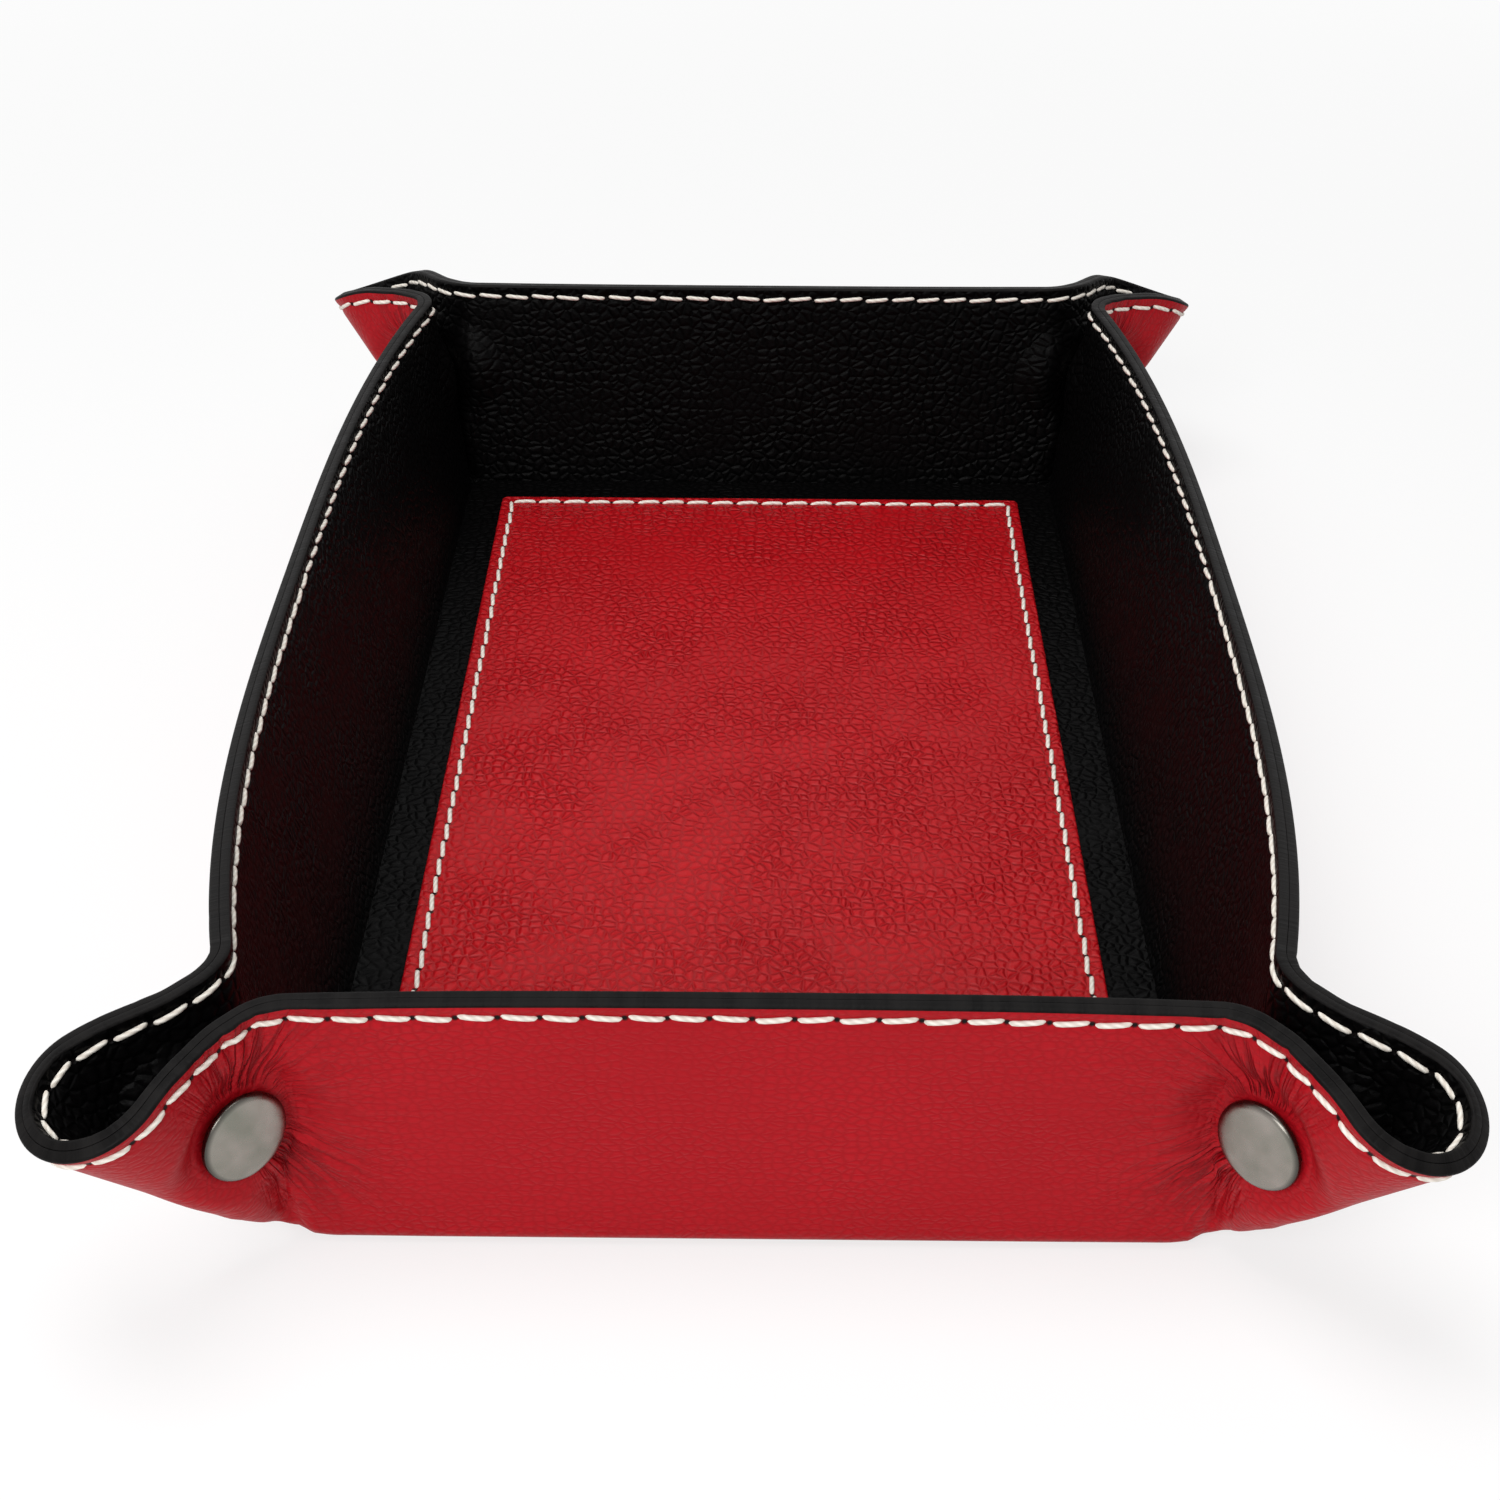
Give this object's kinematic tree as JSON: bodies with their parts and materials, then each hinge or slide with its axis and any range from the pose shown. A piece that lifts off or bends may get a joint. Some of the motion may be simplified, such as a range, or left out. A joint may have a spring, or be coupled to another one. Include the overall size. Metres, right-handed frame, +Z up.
{
  "type": "leather tray",
  "caption": "Rectangular leather catch-all tray with pinched ear corners held by snaps, a lined inside and a sewn floor panel.",
  "frame": {"origin": "on the table under the middle of the floor", "axes": "+X along the short end walls, +Y along the long side walls to the back, +Z up"},
  "size_m": [0.1866, 0.3026, 0.0456],
  "materials": {
    "outer_leather": "smooth red leather with a fine grain",
    "lining_leather": "pebbled black leather",
    "panel_leather": "pebbled red leather",
    "thread": "waxed off-white thread",
    "snap_metal": "smooth dark pewter plating"
  },
  "bodies": {
    "floor": {"floor_outer": "outer_leather", "floor_lining": "lining_leather", "floor_panel": "panel_leather", "floor_panel_stitching": "thread"},
    "right_wall": {"right_wall_outer": "outer_leather", "right_wall_lining": "lining_leather", "right_wall_stitching": "thread"},
    "left_wall": {"left_wall_outer": "outer_leather", "left_wall_lining": "lining_leather", "left_wall_stitching": "thread"},
    "back_wall": {"back_wall_outer": "outer_leather", "back_wall_lining": "lining_leather", "back_wall_stitching": "thread"},
    "front_wall": {"front_wall_outer": "outer_leather", "front_wall_lining": "lining_leather", "front_wall_stitching": "thread"},
    "front_left_ear_front_leaf": {"front_left_ear_front_leaf_outer": "outer_leather", "front_left_ear_front_leaf_lining": "lining_leather", "front_left_ear_front_leaf_stitching": "thread", "front_left_snap_cap": "snap_metal", "front_left_snap_socket": "snap_metal"},
    "front_left_ear_left_leaf": {"front_left_ear_left_leaf_outer": "outer_leather", "front_left_ear_left_leaf_lining": "lining_leather", "front_left_ear_left_leaf_stitching": "thread", "front_left_snap_stud": "snap_metal", "front_left_snap_post": "snap_metal"},
    "front_right_ear_front_leaf": {"front_right_ear_front_leaf_outer": "outer_leather", "front_right_ear_front_leaf_lining": "lining_leather", "front_right_ear_front_leaf_stitching": "thread", "front_right_snap_cap": "snap_metal", "front_right_snap_socket": "snap_metal"},
    "front_right_ear_right_leaf": {"front_right_ear_right_leaf_outer": "outer_leather", "front_right_ear_right_leaf_lining": "lining_leather", "front_right_ear_right_leaf_stitching": "thread", "front_right_snap_stud": "snap_metal", "front_right_snap_post": "snap_metal"},
    "back_left_ear_back_leaf": {"back_left_ear_back_leaf_outer": "outer_leather", "back_left_ear_back_leaf_lining": "lining_leather", "back_left_ear_back_leaf_stitching": "thread", "back_left_snap_cap": "snap_metal", "back_left_snap_socket": "snap_metal"},
    "back_left_ear_left_leaf": {"back_left_ear_left_leaf_outer": "outer_leather", "back_left_ear_left_leaf_lining": "lining_leather", "back_left_ear_left_leaf_stitching": "thread", "back_left_snap_stud": "snap_metal", "back_left_snap_post": "snap_metal"},
    "back_right_ear_back_leaf": {"back_right_ear_back_leaf_outer": "outer_leather", "back_right_ear_back_leaf_lining": "lining_leather", "back_right_ear_back_leaf_stitching": "thread", "back_right_snap_cap": "snap_metal", "back_right_snap_socket": "snap_metal"},
    "back_right_ear_right_leaf": {"back_right_ear_right_leaf_outer": "outer_leather", "back_right_ear_right_leaf_lining": "lining_leather", "back_right_ear_right_leaf_stitching": "thread", "back_right_snap_stud": "snap_metal", "back_right_snap_post": "snap_metal"}
  },
  "joints": [
    {"name": "right_wall_fold", "type": "hinge", "parent": "floor", "child": "right_wall", "pos_m": [0.06575, 0, 0], "axis": [0, 1, 0], "range_deg": [0, 67]},
    {"name": "left_wall_fold", "type": "hinge", "parent": "floor", "child": "left_wall", "pos_m": [-0.06575, 0, 0], "axis": [0, -1, 0], "range_deg": [0, 67]},
    {"name": "back_wall_fold", "type": "hinge", "parent": "floor", "child": "back_wall", "pos_m": [0, 0.12375, 0], "axis": [-1, 0, 0], "range_deg": [0, 75.1]},
    {"name": "front_wall_fold", "type": "hinge", "parent": "floor", "child": "front_wall", "pos_m": [0, -0.12375, 0], "axis": [1, 0, 0], "range_deg": [0, 75.1]},
    {"name": "front_left_ear_front_leaf_fold", "type": "hinge", "parent": "front_wall", "child": "front_left_ear_front_leaf", "pos_m": [-0.0642, -0.1222, 0.00155], "axis": [0.033, 0.0975, -0.9947], "range_deg": [0, 50.3]},
    {"name": "front_left_ear_left_leaf_fold", "type": "hinge", "parent": "left_wall", "child": "front_left_ear_left_leaf", "pos_m": [-0.0642, -0.1222, 0.00155], "axis": [-0.1674, -0.1814, 0.9691], "range_deg": [0, 49]},
    {"name": "front_right_ear_front_leaf_fold", "type": "hinge", "parent": "front_wall", "child": "front_right_ear_front_leaf", "pos_m": [0.0642, -0.1222, 0.00155], "axis": [0.033, -0.0975, 0.9947], "range_deg": [0, 50.3]},
    {"name": "front_right_ear_right_leaf_fold", "type": "hinge", "parent": "right_wall", "child": "front_right_ear_right_leaf", "pos_m": [0.0642, -0.1222, 0.00155], "axis": [-0.1674, 0.1814, -0.9691], "range_deg": [0, 49]},
    {"name": "back_left_ear_back_leaf_fold", "type": "hinge", "parent": "back_wall", "child": "back_left_ear_back_leaf", "pos_m": [-0.0642, 0.1222, 0.00155], "axis": [-0.033, 0.0975, 0.9947], "range_deg": [0, 50.3]},
    {"name": "back_left_ear_left_leaf_fold", "type": "hinge", "parent": "left_wall", "child": "back_left_ear_left_leaf", "pos_m": [-0.0642, 0.1222, 0.00155], "axis": [0.1674, -0.1814, -0.9691], "range_deg": [0, 49]},
    {"name": "back_right_ear_back_leaf_fold", "type": "hinge", "parent": "back_wall", "child": "back_right_ear_back_leaf", "pos_m": [0.0642, 0.1222, 0.00155], "axis": [-0.033, -0.0975, -0.9947], "range_deg": [0, 50.3]},
    {"name": "back_right_ear_right_leaf_fold", "type": "hinge", "parent": "right_wall", "child": "back_right_ear_right_leaf", "pos_m": [0.0642, 0.1222, 0.00155], "axis": [0.1674, 0.1814, 0.9691], "range_deg": [0, 49]}
  ],
  "couplings": [
    {"joint": "left_wall_fold", "follows": "right_wall_fold", "ratio": 1},
    {"joint": "back_wall_fold", "follows": "right_wall_fold", "ratio": 1.12},
    {"joint": "front_wall_fold", "follows": "right_wall_fold", "ratio": 1.12},
    {"joint": "front_left_ear_front_leaf_fold", "follows": "right_wall_fold", "ratio": 0.75},
    {"joint": "front_left_ear_left_leaf_fold", "follows": "right_wall_fold", "ratio": 0.73},
    {"joint": "front_right_ear_front_leaf_fold", "follows": "right_wall_fold", "ratio": 0.75},
    {"joint": "front_right_ear_right_leaf_fold", "follows": "right_wall_fold", "ratio": 0.73},
    {"joint": "back_left_ear_back_leaf_fold", "follows": "right_wall_fold", "ratio": 0.75},
    {"joint": "back_left_ear_left_leaf_fold", "follows": "right_wall_fold", "ratio": 0.73},
    {"joint": "back_right_ear_back_leaf_fold", "follows": "right_wall_fold", "ratio": 0.75},
    {"joint": "back_right_ear_right_leaf_fold", "follows": "right_wall_fold", "ratio": 0.73}
  ]
}
